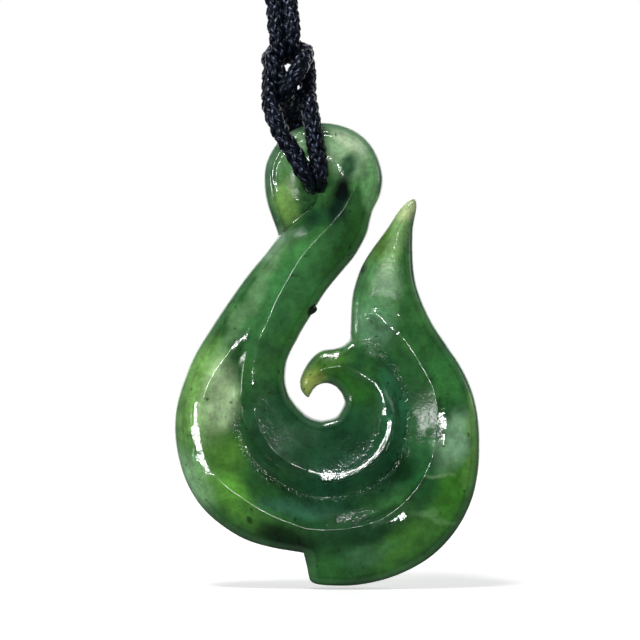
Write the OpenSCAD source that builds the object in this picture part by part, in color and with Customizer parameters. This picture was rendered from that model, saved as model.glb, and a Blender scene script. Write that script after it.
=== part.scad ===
// Hei matau, a carved jade fish hook, hanging on a braided waxed cord.
// +Z is up, +X to the viewer's right, and the carved face looks along -Y.
// The origin is under the closure at the top of the cord loop, where the loop hangs.

/* [Stone] */
// Height of the carved hook
hook_h = 50; // [40:0.5:64]
// Width of the carved hook
hook_w = 33; // [27:0.5:42]
// Thickness of the stone at its highest crest
hook_t = 6.6; // [5:0.1:9]
// Width of the rounded rim all round the stone
rim_w = 1; // [0.6:0.05:1.4]
// Bore through the head for the cord
bore_d = 2.6; // [2.4:0.05:3.2]

/* [Cord] */
// Diameter of the braided cord
cord_d = 1.8; // [1.4:0.05:2]
// Diameter of each strand where the bore squeezes it
squeezed_d = 1.05; // [0.8:0.05:1.1]
// Clearance between the strands and the faces of the head
leg_gap = 0.5; // [0.3:0.05:1]
// Width of the hitch above the stone
hitch_w = 5.2; // [4.6:0.1:6.4]
// Height of the hitch
hitch_h = 6.8; // [6.4:0.1:8]
// Depth of the hitch from front to back
hitch_depth = 6; // [5:0.1:8]

/* [Closure] */
// Length of the closure barrel
barrel_l = 24; // [16:1:30]
// Diameter of the closure barrel
barrel_d = 5.4; // [4:0.1:8]
// Depth of the blind hole that takes each cord end
socket_l = 7; // [4:0.5:7.5]
// Clearance round a cord end in its blind hole
socket_gap = 0.15; // [0.05:0.05:0.4]

/* [Hidden] */

// The stone is drawn on a grid of 306 by 464 squares over its width and height.
// Grid x runs right from the left edge of the belly, grid z up from the fin's lowest point.
GRID_W = 306;
GRID_H = 464;
bore_gx = 142;
bore_gz = 404;
bore_x = 3.8;
bore_z = -136.5;
half_t = hook_t / 2;

// Sections across the hook, from the fork of the point and the barb, round the bottom,
// up the shank, and round the head to the crease beside the bore.
// o is the outer rim, b the outer crest, k the bed between the two crests, i the inner rim.
// gc is how far from b to k the groove lies; gs and gd are how far from k to i the
// second edge and the inner crest lie. The first number is the steps to the next row.
//   steps  ox     oz     bx     bz     kx     kz     ix     iz     gc    gs    gd
SECTIONS = [
    [1, 272,   243,   230,   246,   174,   246,   162,   199,   0.84, 0.14, 0.55],
    [1, 274,   240,   232,   243,   177,   243.5, 163,   198,   0.80, 0.16, 0.53],
    [2, 277,   235,   235,   239,   182,   240,   164.5, 196,   0.74, 0.18, 0.49],
    [3, 283,   227,   241.5, 228,   191,   232,   167,   193,   0.64, 0.20, 0.42],
    [3, 292,   211,   250.5, 213,   206,   220,   169,   188,   0.75, 0.15, 0.35],
    [3, 300,   191,   258.5, 195,   217,   204,   169.5, 183,   0.78, 0.12, 0.23],
    [3, 305,   166,   262,   173,   224,   180,   167,   177,   0.74, 0.07, 0.21],
    [3, 306,   140,   261,   151,   227,   156,   162.5, 170.5, 0.79, 0.09, 0.25],
    [3, 304.5, 116,   257,   131,   222,   137,   157,   168,   0.80, 0.10, 0.25],
    [3, 298,   86,    246,   106,   212,   119,   152,   167,   0.79, 0.11, 0.25],
    [3, 282,   55,    228,   84.5,  193,   105.5, 148,   166.5, 0.80, 0.11, 0.23],
    [3, 256,   28,    207,   69,    172,   98,    144,   167,   0.82, 0.12, 0.23],
    [4, 222,   10,    180,   61,    151,   95,    139,   168.5, 0.82, 0.12, 0.22],
    [3, 186,   1,     155,   58.5,  134,   97.5,  134,   171,   0.82, 0.12, 0.25],
    [2, 160,   0,     140,   59,    125,   101,   130,   174,   0.80, 0.12, 0.25],
    [2, 143,   1.3,   132,   60,    118,   104.5, 127,   177,   0.79, 0.11, 0.24],
    [2, 135.5, 6,     126,   61.5,  113.5, 107.5, 125,   179,   0.78, 0.11, 0.23],
    [2, 134.6, 19,    120,   63.5,  109,   111,   123,   181,   0.77, 0.10, 0.22],
    [2, 134,   31,    114,   65.5,  104.5, 115,   121,   183.5, 0.76, 0.10, 0.21],
    [3, 122,   34,    105,   69,    98.5,  120,   118.5, 187,   0.75, 0.09, 0.20],
    [3, 96,    38.5,  87,    78,    87.5,  131,   115.5, 192,   0.77, 0.08, 0.22],
    [3, 66,    48.5,  67,    91,    77,    145,   113,   200,   0.80, 0.07, 0.24],
    [3, 33.5,  72,    47,    106.5, 69.5,  161,   112,   208,   0.83, 0.05, 0.27],
    [3, 14.5,  99,    34.5,  126,   65.5,  177,   112.5, 216,   0.82, 0.05, 0.30],
    [3, 5,     126,   30,    148,   64,    192,   114,   226,   0.84, 0.06, 0.30],
    [3, 0.5,   153,   29,    170,   64.5,  207,   118,   236,   0.87, 0.06, 0.27],
    [3, 2,     179,   31,    191,   67,    222,   123,   245,   0.90, 0.07, 0.26],
    [2, 9,     204,   40,    212,   70.5,  235,   128,   255,   0.88, 0.08, 0.25],
    [3, 19,    229,   54,    232,   76,    246,   133,   266,   0.80, 0.08, 0.21],
    [3, 34,    254,   68,    255,   85,    262,   138.5, 280,   0.60, 0.08, 0.18],
    [4, 52,    281.5, 81,    282,   95,    285,   148,   296,   0.50, 0.07, 0.16],
    [3, 73,    311,   98,    310,   109,   309,   163,   314.5, 0.50, 0.06, 0.13],
    [2, 92,    334,   109,   332,   120,   330,   178,   332,   0.50, 0.07, 0.15],
    [5, 104.5, 350,   119,   346,   130,   343.5, 186,   346,   0.50, 0.09, 0.19],
    [4, 118,   357,   133,   354,   142,   353.5, 192,   359,   0.50, 0.08, 0.17],
    [4, 133,   374,   145,   365,   153,   364,   197.5, 372,   0.50, 0.08, 0.18],
    [3, 144,   386,   154,   378,   160,   375.5, 204.5, 385,   0.50, 0.12, 0.25],
    [2, 142,   404,   158,   388.5, 165,   386,   208,   395,   0.50, 0.14, 0.28],
    [2, 142,   404,   163.5, 397,   169,   396.5, 209.5, 408,   0.50, 0.16, 0.32],
    [2, 142,   404,   165.3, 407.3, 171,   409,   206,   425,   0.50, 0.18, 0.35],
    [2, 142,   404,   164,   418,   169,   422,   197,   442.5, 0.50, 0.18, 0.38],
    [2, 142,   404,   158.5, 428.5, 162,   434,   182,   455.5, 0.50, 0.18, 0.40],
    [2, 142,   404,   147.6, 435.5, 149.5, 441,   163,   462.5, 0.50, 0.18, 0.40],
    [2, 142,   404,   134,   436,   134,   441.5, 144,   464,   0.50, 0.18, 0.40],
    [2, 142,   404,   122,   430.5, 120,   435.5, 126,   459.5, 0.50, 0.20, 0.45],
    [2, 142,   404,   114.3, 420,   110.5, 424,   110.3, 451,   0.50, 0.22, 0.50],
    [2, 142,   404,   111.3, 408.3, 106.5, 410.5, 98.7,  438,   0.50, 0.24, 0.55],
    [2, 142,   404,   114,   397,   108.5, 397.5, 91,    421.5, 0.50, 0.25, 0.58],
    [2, 142,   404,   120.2, 388,   114,   387,   89.8,  404,   0.50, 0.25, 0.60],
    [2, 142,   404,   128.5, 382.4, 122,   379.5, 91.6,  386.6, 0.50, 0.25, 0.58],
    [2, 142,   404,   138.2, 382,   130.5, 376,   97.2,  369,   0.50, 0.22, 0.48],
    [0, 142,   404,   145,   387,   133,   374,   104.5, 350,   0.50, 0.15, 0.30]
];

// Heights of the carved face over the middle plane, as shares of half the thickness:
// the middle of the head at the bore, the outer shoulder, the outer crest, the groove,
// the bed, the second edge, the inner crest, the inner shoulder, and the plain back.
//   row  bore   outer  crest  groove bed    edge   inner  inner    back
//        middle should                             crest  should
RELIEF = [
    [0,  0,    0.50, 0.62, 0.52, 0,    0.46, 0.63, 0.50, 0.66],
    [1,  0,    0.50, 0.63, 0.50, 0.34, 0.52, 0.65, 0.50, 0.68],
    [2,  0,    0.50, 0.66, 0.46, 0.44, 0.57, 0.68, 0.51, 0.70],
    [3,  0,    0.50, 0.72, 0.36, 0.42, 0.62, 0.74, 0.52, 0.74],
    [5,  0,    0.50, 0.80, 0.26, 0.40, 0.64, 0.82, 0.56, 0.78],
    [9,  0,    0.50, 0.84, 0.24, 0.40, 0.68, 0.90, 0.60, 0.82],
    [12, 0,    0.48, 0.84, 0.24, 0.40, 0.70, 0.92, 0.62, 0.82],
    [16, 0,    0.46, 0.84, 0.24, 0.40, 0.70, 0.88, 0.62, 0.82],
    [20, 0,    0.46, 0.84, 0.24, 0.40, 0.66, 0.80, 0.62, 0.82],
    [23, 0,    0.48, 0.86, 0.25, 0.42, 0.62, 0.74, 0.60, 0.82],
    [25, 0,    0.50, 0.84, 0.34, 0.48, 0.66, 0.78, 0.58, 0.82],
    [26, 0,    0.50, 0.82, 0.54, 0.62, 0.72, 0.82, 0.58, 0.82],
    [28, 0,    0.52, 0.80, 0.78, 0.82, 0.86, 0.90, 0.58, 0.82],
    [30, 0,    0.52, 0.76, 0.84, 0.87, 0.90, 0.94, 0.58, 0.80],
    [33, 0,    0.50, 0.72, 0.78, 0.82, 0.86, 0.92, 0.56, 0.76],
    [37, 0.54, 0.58, 0.70, 0.73, 0.77, 0.82, 0.90, 0.56, 0.72],
    [40, 0.54, 0.56, 0.70, 0.74, 0.76, 0.77, 0.78, 0.56, 0.70],
    [44, 0.54, 0.56, 0.68, 0.70, 0.71, 0.72, 0.72, 0.52, 0.70],
    [48, 0.54, 0.58, 0.70, 0.69, 0.67, 0.64, 0.58, 0.46, 0.70],
    [50, 0.54, 0.54, 0.60, 0.58, 0.56, 0.54, 0.52, 0.42, 0.70],
    [51, 0.54, 0.50, 0.44, 0.42, 0.40, 0.40, 0.40, 0.38, 0.68]
];

// The point above the fork: outer rim, crest, inner rim; heights of the outer shoulder,
// the crest, the inner shoulder and the back.
//   steps  ox     oz     bx     bz     kx     kz     outer crest inner back
POINT = [
    [2, 263,   256,   221,   257,   175.5, 256,   0.50, 0.62, 0.44, 0.64],
    [2, 255,   270,   212,   272,   176,   272,   0.50, 0.64, 0.44, 0.63],
    [2, 247,   288,   207,   289,   177,   289,   0.48, 0.64, 0.44, 0.62],
    [2, 241.5, 306,   208,   305,   181,   305,   0.46, 0.62, 0.43, 0.60],
    [2, 239.5, 324,   211,   323,   187.5, 322,   0.44, 0.58, 0.42, 0.56],
    [2, 239,   342,   217,   341,   200,   341,   0.40, 0.52, 0.38, 0.50],
    [2, 239.5, 360,   225,   359,   213.5, 359,   0.34, 0.44, 0.33, 0.42],
    [1, 243,   377,   234,   377,   225,   377,   0.26, 0.32, 0.25, 0.31],
    [1, 242.8, 384,   238,   384.5, 232,   384,   0.18, 0.22, 0.18, 0.21],
    [0, 240,   389,   240,   389,   240,   389,   0,    0,    0,    0]
];

// The barb beyond the fork: its outer edge, how far across its crest lies, the edge of
// the round eye; heights of the outer shoulder, the crest, the inner shoulder, the back.
//   steps  kx     kz     ix     iz     gd    outer crest inner back
BARB = [
    [2, 167,   240,   156,   202,   0.54, 0.44, 0.62, 0.48, 0.64],
    [2, 158,   238,   150,   202.5, 0.56, 0.44, 0.60, 0.46, 0.62],
    [2, 149,   237,   144,   200.5, 0.58, 0.43, 0.58, 0.44, 0.60],
    [2, 141,   232.5, 140,   197,   0.60, 0.42, 0.55, 0.42, 0.57],
    [2, 133.5, 224,   137.5, 193,   0.56, 0.40, 0.50, 0.40, 0.53],
    [2, 128,   214,   136,   190.5, 0.52, 0.36, 0.44, 0.36, 0.47],
    [1, 125,   204,   135.5, 189.3, 0.50, 0.30, 0.34, 0.30, 0.38],
    [1, 126.5, 196,   135,   188.5, 0.50, 0.22, 0.24, 0.22, 0.28],
    [0, 132,   189,   132,   189,   0.50, 0,    0,    0,    0]
];

// Route of the right half of the neck loop, from the closure round to the hitch, as
// distance from the middle and height; the left half mirrors it.
LOOP_ROUTE = [
    [28, 0], [44, -7.4], [58, -19.2], [68.5, -35.5], [72.7, -55], [67, -74], [52, -88.8],
    [33, -97.5], [16, -103.4], [5.6, -108.8], [2.2, -113]
];
// Where the two strands stand next to each other above the hitch, left and right
LOOP_FOOT_LEFT = [[-0.8, -117], [-0.5, -119]];
LOOP_FOOT_RIGHT = [[1, -117], [1.3, -119]];

// Route of each strand from the front of the hitch over the head, through the bore and
// up the back: x, share of the way out from the middle plane, share of the way up from
// the bore to the hitch, and how far the strand is squeezed.
LEG_LEFT = [
    [-0.9, -0.54, 1, 0], [-0.9, -0.54, 0.93, 0], [-0.9, -0.84, 0.77, 0], [-0.6, -1, 0.57, 0],
    [0.7, -1.02, 0.36, 0], [2.2, -1, 0.19, 0.2], [3, -0.88, 0.055, 0.7], [3.25, -0.64, 0, 1],
    [3.25, 0, 0, 1], [3.25, 0.64, 0, 1], [3, 0.88, 0.055, 0.7], [2.4, 1, 0.21, 0.2],
    [1.5, 1.02, 0.43, 0], [0.8, 0.9, 0.7, 0], [0.6, 0.58, 0.93, 0], [0.6, 0.58, 1, 0]
];
LEG_RIGHT = [
    [3, -0.54, 1, 0], [3, -0.54, 0.93, 0], [3.4, -0.84, 0.77, 0], [3.7, -1, 0.57, 0],
    [4, -1.02, 0.36, 0], [4.3, -1, 0.19, 0.2], [4.35, -0.88, 0.055, 0.7], [4.35, -0.64, 0, 1],
    [4.35, 0, 0, 1], [4.35, 0.64, 0, 1], [4.35, 0.88, 0.055, 0.7], [4.2, 1, 0.21, 0.2],
    [3.6, 1.02, 0.43, 0], [2.9, 0.9, 0.7, 0], [2.6, 0.58, 0.93, 0], [2.6, 0.58, 1, 0]
];

// Outer form of the hitch: how far down each level lies, its middle, its width and depth
//   down  x     width depth
HITCH_LEVELS = [
    [0,    0.35, 0.70, 0.40],
    [0.34, 0.75, 1,    0.80],
    [0.62, 0.8,  0.92, 0.90],
    [1,    1,    1.08, 1]
];
CORD_SIDES = 8;
hitch_rise = 9.1;
hitch_foot = bore_z + hitch_rise;
hitch_top = hitch_foot + hitch_h;
hitch_skin = 0.01;
// Way out of a strand's middle over the highest part of the head
leg_reach = 0.72 * half_t + leg_gap + cord_d / 2;
barrel_z = barrel_d / 2;
cord_end_x = barrel_l / 2 - socket_l + 0.3;

// First row whose line starts at the bore, and row at the notch, where the outer rim
// leaves the outline and runs over the face to the bore in four rows
LAST = len(SECTIONS) - 1;
HEAD = [for (n = [0:LAST]) if (SECTIONS[n][1] == bore_gx && SECTIONS[n][2] == bore_gz) n][0];
NOTCH = HEAD - 4;

// The rounded rim: how far in its three rings lie, and how high they stand
RIM_IN = [0.1, 0.38, 1];
RIM_UP = [0.44, 0.79, 1];

function place(gx, gz) = [
    bore_x + (gx - bore_gx) * hook_w / GRID_W,
    bore_z + (gz - bore_gz) * hook_h / GRID_H
];
function mix(a, b, t) = a + (b - a) * t;
function inward(a, b, reach) =
    norm(b - a) < 0.001 ? a : a + (b - a) * min(reach / norm(b - a), 0.45 * reach / rim_w);
function total(list, n) = n == 0 ? 0 : list[n - 1] + total(list, n - 1);
function lift(plan, up, side) = [plan[0], side * up * half_t, plan[1]];

// One line of 17 points across the stone, from the outer to the inner rim
function across(o, b, k, i, gc, gs, gd, h, side) =
    let (c = mix(b, k, gc), s = mix(k, i, gs), d = mix(k, i, gd),
         ro = [for (r = RIM_IN) inward(o, b, r * rim_w)],
         ri = [for (r = RIM_IN) inward(i, d, r * rim_w)])
    [
        lift(o, h[0], side),
        for (n = [0:2]) lift(ro[n], mix(h[0], h[1], RIM_UP[n]), side),
        lift(mix(ro[2], b, 0.5), mix(h[1], h[2], 0.6), side),
        lift(b, h[2], side),
        lift(mix(b, c, 0.5), mix(h[2], h[3], 0.58), side),
        lift(c, h[3], side),
        lift(k, h[4], side),
        lift(s, h[5], side),
        lift(mix(s, d, 0.5), mix(h[5], h[6], 0.55), side),
        lift(d, h[6], side),
        lift(mix(d, ri[2], 0.5), mix(h[6], h[7], 0.5), side),
        for (n = [2, 1, 0]) lift(ri[n], h[7] * RIM_UP[n], side),
        lift(i, 0, side)
    ];

// Heights for one section: the carved face from the relief, the back a plain low dome
function relief(n) =
    let (later = [for (m = [1:len(RELIEF) - 1]) if (RELIEF[m][0] >= n) m],
         m = later[0], a = RELIEF[m - 1], z = RELIEF[m],
         t = (n - a[0]) / (z[0] - a[0]))
    [for (col = [1:9]) mix(a[col], z[col], t)];
function heights(n, side) =
    let (r = relief(n), fork = n > 2 ? 1 : [0, 0.55, 0.85][n], back = r[8], inner = n >= HEAD)
    side < 0
    ? [inner ? r[0] : 0, r[1], r[2], r[3], r[4], r[5], r[6], r[7]]
    : [inner ? back : 0, (inner ? 1 : 0.84) * back, 0.97 * back,
       mix(0.9, 1, fork) * back, fork * back, mix(0.6, 1, fork) * back, 0.98 * back, 0.84 * back];

function row_points(n, side) =
    let (s = SECTIONS[n], h = heights(n, side))
    across(place(s[1], s[2]), place(s[3], s[4]), place(s[5], s[6]), place(s[7], s[8]),
           s[9], s[10], s[11], h, side);

// Between the notch and the bore, a section starts from the point of the last section
// that it runs into, so the stone closes along the crease.
STEPS = [for (s = SECTIONS) s[0]];
notch_step = total(STEPS, NOTCH);
function met(n, side) = row_points(LAST, side)[16 - (total(STEPS, n) - notch_step)];
function section(n, side) =
    n > NOTCH && n < HEAD
    ? let (s = SECTIONS[n], h = heights(n, side), p = met(n, side))
      across([p[0], p[2]], place(s[3], s[4]), place(s[5], s[6]), place(s[7], s[8]),
             s[9], s[10], s[11], concat([p[1] * side / half_t], [for (m = [1:7]) h[m]]), side)
    : row_points(n, side);

// A line across the point, whose two edges are both free
function point_row(r, side) =
    let (o = place(r[1], r[2]), b = place(r[3], r[4]), k = place(r[5], r[6]),
         h = side < 0 ? [r[7], r[8], r[9]] : [0.84, 1, 0.84] * r[10],
         ro = [for (q = RIM_IN) inward(o, b, q * rim_w)],
         rk = [for (q = RIM_IN) inward(k, b, q * rim_w)])
    [
        lift(o, 0, side),
        for (n = [0:2]) lift(ro[n], h[0] * RIM_UP[n], side),
        lift(mix(ro[2], b, 0.5), mix(h[0], h[1], 0.65), side),
        lift(b, h[1], side),
        lift(rk[2], h[2], side),
        lift(mix(rk[0], rk[1], 0.5), h[2] * mix(RIM_UP[0], RIM_UP[1], 0.5), side),
        lift(k, 0, side)
    ];

// A line across the barb, from its outer edge to the round eye
function barb_row(r, side) =
    let (k = place(r[1], r[2]), i = place(r[3], r[4]), d = mix(k, i, r[5]),
         h = side < 0 ? [r[6], r[7], r[8]] : [0.86, 1, 0.86] * r[9],
         rk = [for (q = RIM_IN) inward(k, d, q * rim_w)],
         ri = [for (q = RIM_IN) inward(i, d, q * rim_w)])
    [
        lift(k, 0, side),
        lift(mix(rk[0], rk[1], 0.5), h[0] * mix(RIM_UP[0], RIM_UP[1], 0.5), side),
        lift(rk[2], h[0], side),
        lift(d, h[1], side),
        lift(mix(d, ri[2], 0.5), mix(h[1], h[2], 0.5), side),
        for (n = [2, 1, 0]) lift(ri[n], h[2] * RIM_UP[n], side),
        lift(i, 0, side)
    ];

// Fills in the steps between given lines with a smooth curve through each column
function slope(rows, at, n, col) =
    n == 0 ? (rows[1][col] - rows[0][col]) / (at[1] - at[0])
    : n == len(rows) - 1 ? (rows[n][col] - rows[n - 1][col]) / (at[n] - at[n - 1])
    : (rows[n + 1][col] - rows[n - 1][col]) / (at[n + 1] - at[n - 1]);
function blend(a, b, da, db, t) =
    (2 * t * t * t - 3 * t * t + 1) * a + (t * t * t - 2 * t * t + t) * da
    + (3 * t * t - 2 * t * t * t) * b + (t * t * t - t * t) * db;
function filled(rows, steps) =
    let (at = [for (n = [0:len(rows) - 1]) total(steps, n)])
    [
        for (n = [0:len(rows) - 2])
            for (m = [0:steps[n] - 1])
                m == 0 ? rows[n]
                : [for (col = [0:len(rows[n]) - 1])
                    blend(rows[n][col], rows[n + 1][col], slope(rows, at, n, col) * steps[n],
                          slope(rows, at, n + 1, col) * steps[n], m / steps[n])],
        rows[len(rows) - 1]
    ];

function body_sheet(side) =
    let (rows = filled([for (n = [0:LAST]) section(n, side)], STEPS), last = rows[len(rows) - 1])
    [
        for (n = [0:len(rows) - 1])
            let (first = n < notch_step ? [rows[n][0][0], 0, rows[n][0][2]]
                         : last[max(16 - (n - notch_step), 0)])
            concat([first], [for (col = [1:16]) rows[n][col]])
    ];
function point_sheet(side) =
    filled(concat([[for (col = [0:8]) section(0, side)[col]]], [for (r = POINT) point_row(r, side)]),
           concat([2], [for (r = POINT) r[0]]));
function barb_sheet(side) =
    filled(concat([[for (col = [8:16]) section(0, side)[col]]], [for (r = BARB) barb_row(r, side)]),
           concat([2], [for (r = BARB) r[0]]));

// Triangles over one sheet of rows, leaving out those that have shrunk to a line
function flat_list(rows) = [for (r = rows) for (p = r) p];
function sheet_faces(rows, start, turned) =
    let (wide = len(rows[0]))
    [
        for (r = [0:len(rows) - 2])
            for (c = [0:wide - 2])
                let (a = rows[r][c], b = rows[r][c + 1], d = rows[r + 1][c], e = rows[r + 1][c + 1],
                     ia = start + r * wide + c, ib = ia + 1, id = ia + wide, ie = id + 1)
                for (f = norm(a - e) <= norm(b - d)
                         ? [[a, b, e, ia, ib, ie], [a, e, d, ia, ie, id]]
                         : [[a, b, d, ia, ib, id], [b, e, d, ib, ie, id]])
                    if (norm(f[0] - f[1]) > 0.0001 && norm(f[1] - f[2]) > 0.0001
                        && norm(f[0] - f[2]) > 0.0001)
                        turned ? [f[3], f[4], f[5]] : [f[3], f[5], f[4]]
    ];

module carved_stone() {
    sheets = [body_sheet(-1), point_sheet(-1), barb_sheet(-1), body_sheet(1), point_sheet(1), barb_sheet(1)];
    turned = [false, true, true, true, false, false];
    sizes = [for (s = sheets) len(s) * len(s[0])];
    polyhedron(
        points = [for (s = sheets) for (p = flat_list(s)) p],
        faces = [for (n = [0:5]) for (f = sheet_faces(sheets[n], total(sizes, n), turned[n])) f]
    );
}

module jade_hook() {
    color("#2f6b3a")
        difference() {
            carved_stone();
            translate([bore_x, 0, bore_z])
                rotate([90, 0, 0])
                    cylinder(d = bore_d, h = hook_t + 2, center = true, $fn = 48);
        }
}

// One ring of a tube, square to the way ahead; beside is a direction it never follows
function unit(v) = v / norm(v);
function ring(p, ahead, beside, d) =
    let (side = unit(cross(ahead, beside)), top = unit(cross(side, ahead)))
    [for (n = [0:CORD_SIDES - 1])
        let (turn = 360 * (n + 0.5) / CORD_SIDES)
        p + d / 2 * (side * cos(turn) + top * sin(turn))];

module tube(points, widths, beside) {
    last = len(points) - 1;
    rings = [for (n = [0:last])
        ring(points[n], unit(points[min(n + 1, last)] - points[max(n - 1, 0)]), beside, widths[n])];
    color("#171922")
        polyhedron(
            points = flat_list(rings),
            faces = concat(
                [[for (n = [0:CORD_SIDES - 1]) n]],
                [for (r = [0:last - 1]) for (n = [0:CORD_SIDES - 1])
                    let (a = r * CORD_SIDES + n, b = r * CORD_SIDES + (n + 1) % CORD_SIDES)
                    for (f = [[a, a + CORD_SIDES, b + CORD_SIDES], [a, b + CORD_SIDES, b]]) f],
                [[for (n = [CORD_SIDES - 1:-1:0]) last * CORD_SIDES + n]]
            )
        );
}

// Half of the neck loop: straight out of the closure, round, and straight down to the hitch
module neck_half(hand, foot) {
    curve = concat([[hand * (barrel_l / 2 + 1), barrel_z]], [for (p = LOOP_ROUTE) [hand * p[0], p[1]]], foot);
    round_way = [for (row = filled([for (p = curve) [p]], [for (n = [1:len(curve) - 1]) 2])) row[0]];
    way = concat([[hand * cord_end_x, barrel_z]], round_way, [[foot[1][0], hitch_top]]);
    tube([for (p = way) [p[0], 0, p[1]]], [for (p = way) cord_d], [0, 1, 0]);
}
module neck_cord_left() neck_half(-1, LOOP_FOOT_LEFT);
module neck_cord_right() neck_half(1, LOOP_FOOT_RIGHT);

module leg(route)
    tube([for (r = route) [r[0], r[1] * leg_reach, bore_z + r[2] * hitch_rise]],
         [for (r = route) mix(cord_d, squeezed_d, r[3])], [1, 0, 0]);
module leg_cord_left() leg(LEG_LEFT);
module leg_cord_right() leg(LEG_RIGHT);

module hitch_knot() {
    color("#171922")
        hull()
            for (l = HITCH_LEVELS)
                translate([l[1], 0, hitch_top - hitch_skin - l[0] * (hitch_h - hitch_skin)])
                    scale([l[2] * hitch_w, l[3] * hitch_depth, 1])
                        cylinder(d = 1, h = hitch_skin, $fn = 32);
}

// Plain barrel with a shallow waist and a blind hole at each end
module cord_closure() {
    half = barrel_l / 2;
    color("#26262c")
        translate([0, 0, barrel_z])
            rotate([0, 90, 0])
                difference() {
                    rotate_extrude($fn = 64)
                        polygon([
                            [0, -half], [0.35 * barrel_d, -half], [0.5 * barrel_d, 0.25 * barrel_d - half],
                            [0.5 * barrel_d, -0.2 * barrel_d], [0.44 * barrel_d, -0.1 * barrel_d],
                            [0.44 * barrel_d, 0.1 * barrel_d], [0.5 * barrel_d, 0.2 * barrel_d],
                            [0.5 * barrel_d, half - 0.25 * barrel_d], [0.35 * barrel_d, half], [0, half]
                        ]);
                    for (end = [-1, 1])
                        translate([0, 0, end * (half + 0.5 - socket_l / 2)])
                            cylinder(d = cord_d + 2 * socket_gap, h = socket_l + 1, center = true, $fn = 32);
                }
}

jade_hook();
neck_cord_left();
neck_cord_right();
hitch_knot();
leg_cord_left();
leg_cord_right();
cord_closure();
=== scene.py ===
import math

import bmesh
import bpy
import numpy
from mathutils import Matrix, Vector
from mathutils.kdtree import KDTree


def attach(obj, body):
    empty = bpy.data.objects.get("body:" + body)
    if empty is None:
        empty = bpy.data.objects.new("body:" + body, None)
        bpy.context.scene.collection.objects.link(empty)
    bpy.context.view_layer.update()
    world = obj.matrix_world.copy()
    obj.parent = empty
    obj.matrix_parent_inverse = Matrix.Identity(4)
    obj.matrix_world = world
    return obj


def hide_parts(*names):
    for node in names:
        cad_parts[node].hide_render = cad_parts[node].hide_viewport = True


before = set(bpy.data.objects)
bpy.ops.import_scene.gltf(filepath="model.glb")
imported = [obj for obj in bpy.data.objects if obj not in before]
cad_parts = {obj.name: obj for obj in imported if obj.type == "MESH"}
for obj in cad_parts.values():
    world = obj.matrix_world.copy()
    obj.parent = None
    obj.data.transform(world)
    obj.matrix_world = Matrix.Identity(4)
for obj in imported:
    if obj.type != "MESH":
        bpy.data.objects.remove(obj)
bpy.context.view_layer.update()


# Camera. The photograph looks straight at the carved face from a little way off, with a long
# lens, so the picture is 69 mm wide where the stone hangs.
PICTURE_WIDTH = 0.069
PICTURE_CENTRE = Vector((0.00423, 0, -0.15137))
LENS = 150
SENSOR = 36


def look(position, target, name):
    """A camera at position that looks at target."""
    data = bpy.data.cameras.new(name)
    data.lens = LENS
    data.sensor_width = SENSOR
    camera = bpy.data.objects.new(name, data)
    camera.location = position
    camera.rotation_euler = (target - position).to_track_quat("-Z", "Y").to_euler()
    bpy.context.scene.collection.objects.link(camera)
    return camera


bpy.context.scene.camera = look(
    PICTURE_CENTRE + Vector((0, -PICTURE_WIDTH * LENS / SENSOR, 0)), PICTURE_CENTRE, "camera"
)


# Cord. One length of waxed braid, eight strands laid over and under each other round a thin
# core. It comes out of the closure, goes round, down to the knot, through the bore twice and
# back up the other side.

# Sizes in millimetres. Each strand goes once round the cord in a lay's length.
CORD_DIAMETER = 2.1
CORE_DIAMETER = 0.62 * CORD_DIAMETER
BRAID_LAY = 6.4
STRANDS = 8
STRAND_WIDTH = 0.8
STRAND_THICKNESS = 0.5
STRAND_SIDES = 6
WEAVE_HEIGHT = 0.12
CORD_STEP = 0.36
# Each strand's filaments start this much further along, so that no two strands look the same
FILAMENT_SHIFT = 37
# The bore's axis, its room for the cord, and how much narrower and taller the two rounds of
# cord are pressed in it
BORE_X = 3.8
BORE_Z = -136.5
BORE_ROOM = 1.28
PRESSED_NARROW = 0.36
PRESSED_TALL = 0.5
# Out to where the cord counts as in the bore, in the stone's thickness and close to the stone,
# and the width over which each fades
IN_BORE = (2.2, 1.2)
IN_STONE = (3.0, 0.6)
BY_STONE = (4.1, 0.9)
# The loop's right half, as distance from the middle and height, in millimetres
LOOP_ROUTE = [
    (5.3, 2.7), (13, 2.7), (28, 0), (44, -7.4), (58, -19.2), (68.5, -35.5), (72.7, -55), (67, -74),
    (52, -88.8), (33, -97.5), (16, -103.4), (5.6, -108.8), (2.2, -113),
]
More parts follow.
